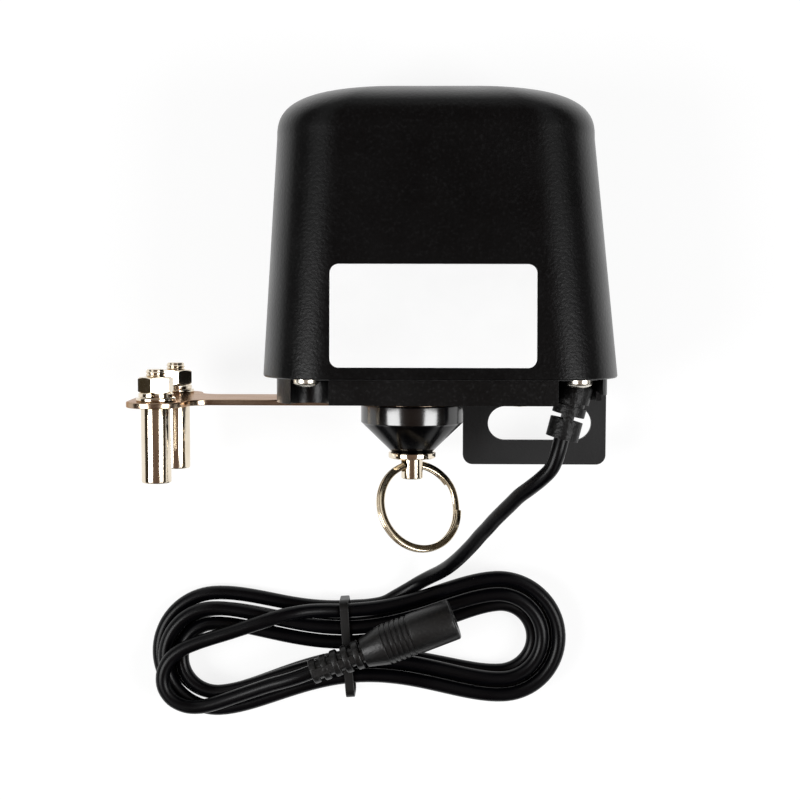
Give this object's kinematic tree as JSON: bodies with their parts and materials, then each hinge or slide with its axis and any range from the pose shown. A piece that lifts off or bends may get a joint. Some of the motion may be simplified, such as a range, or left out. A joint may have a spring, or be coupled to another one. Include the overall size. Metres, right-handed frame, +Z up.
{
  "type": "smart water valve",
  "caption": "Motorised controller that clamps beside a lever ball valve and turns its lever: black cover, swinging arm with posts, pull-ring clutch, slotted bracket and corded socket.",
  "frame": {"origin": "centre of the cover's flat back, which lies on the table", "axes": "+X to the right in the picture, +Y towards the top of the cover along the output axis, +Z up from the table through the label side"},
  "size_m": [0.128, 0.1734, 0.072],
  "materials": {
    "cover_black": "fine-grained matte moulding",
    "base_black": "matte moulding",
    "label_white": "satin film, bare",
    "zinc": "zinc plated",
    "nickel": "bright nickel",
    "arm_plate": "satin nickel plate",
    "cone_black": "black anodised, glossy",
    "bracket_black": "fine black powder coat",
    "steel": "ground steel",
    "brass": "turned",
    "gear_white": "moulded acetal",
    "board_green": "solder mask",
    "part_black": "moulded",
    "connector_white": "moulded",
    "light_clear": "clear moulded",
    "cord_black": "satin PVC",
    "socket_black": "matte PVC",
    "tie_black": "coated wire"
  },
  "bodies": {
    "case": {"cover": "cover_black", "blank_label": "label_white", "base_plate": "base_black", "case_screws": "zinc", "gear_plate": "steel", "plate_screws": "zinc", "motor_gearbox": "steel", "motor_can": "steel", "motor_screws": "zinc", "output_bush": "brass", "upper_bush": "brass", "circuit_board": "board_green", "board_screws": "zinc", "radio_module": "steel", "tact_switch": "part_black", "status_led": "light_clear", "light_guide": "light_clear", "board_connector": "connector_white", "inner_leads": "cord_black", "mount_bracket": "bracket_black", "bracket_screws": "zinc", "cord_gland": "socket_black", "power_cord_lead": "cord_black", "power_cord_hank": "cord_black", "power_cord_tail": "cord_black", "cord_tie": "tie_black", "dc_socket_body": "socket_black", "dc_socket_contact": "nickel"},
    "output": {"output_spindle": "steel", "gear_circlip": "steel", "drive_arm": "arm_plate", "arm_posts": "nickel", "post_washers": "nickel", "post_nuts": "nickel", "clutch_cone": "cone_black", "clutch_spring": "steel"},
    "gear": {"output_gear": "gear_white"},
    "pinion": {"drive_pinion": "brass", "motor_shaft": "steel"},
    "pull": {"pull_pin": "nickel", "clutch_key": "steel", "pin_clip": "steel"},
    "ring": {"pull_ring": "nickel"},
    "button": {"button_cap": "part_black"}
  },
  "joints": [
    {"name": "arm_turn", "type": "hinge", "parent": "case", "child": "output", "pos_m": [-0.0072, -0.0424, 0.036], "axis": [0, 1, 0], "range_deg": [0, 90]},
    {"name": "gear_turn", "type": "hinge", "parent": "case", "child": "gear", "pos_m": [-0.0072, -0.0294, 0.036], "axis": [0, 1, 0], "range_deg": [0, 90]},
    {"name": "pinion_turn", "type": "hinge", "parent": "case", "child": "pinion", "pos_m": [0.02285, -0.0294, 0.036], "axis": [0, 1, 0], "range_deg": [-270, 0]},
    {"name": "pin_pull", "type": "slide", "parent": "output", "child": "pull", "axis": [0, -1, 0], "range_m": [0, 0.0032], "stiffness_N_per_m": 900, "springref_m": -0.001, "deforming": ["clutch_spring"]},
    {"name": "ring_swing", "type": "hinge", "parent": "pull", "child": "ring", "pos_m": [-0.0072, -0.0605, 0.036], "axis": [0.866, 0, -0.5], "range_deg": [-60, 90]},
    {"name": "button_press", "type": "slide", "parent": "case", "child": "button", "axis": [0, -1, 0], "range_m": [0, 0.0007], "stiffness_N_per_m": 2000, "springref_m": -0.0002}
  ],
  "couplings": [
    {"joint": "gear_turn", "follows": "arm_turn", "ratio": 1},
    {"joint": "pinion_turn", "follows": "arm_turn", "ratio": -3}
  ]
}
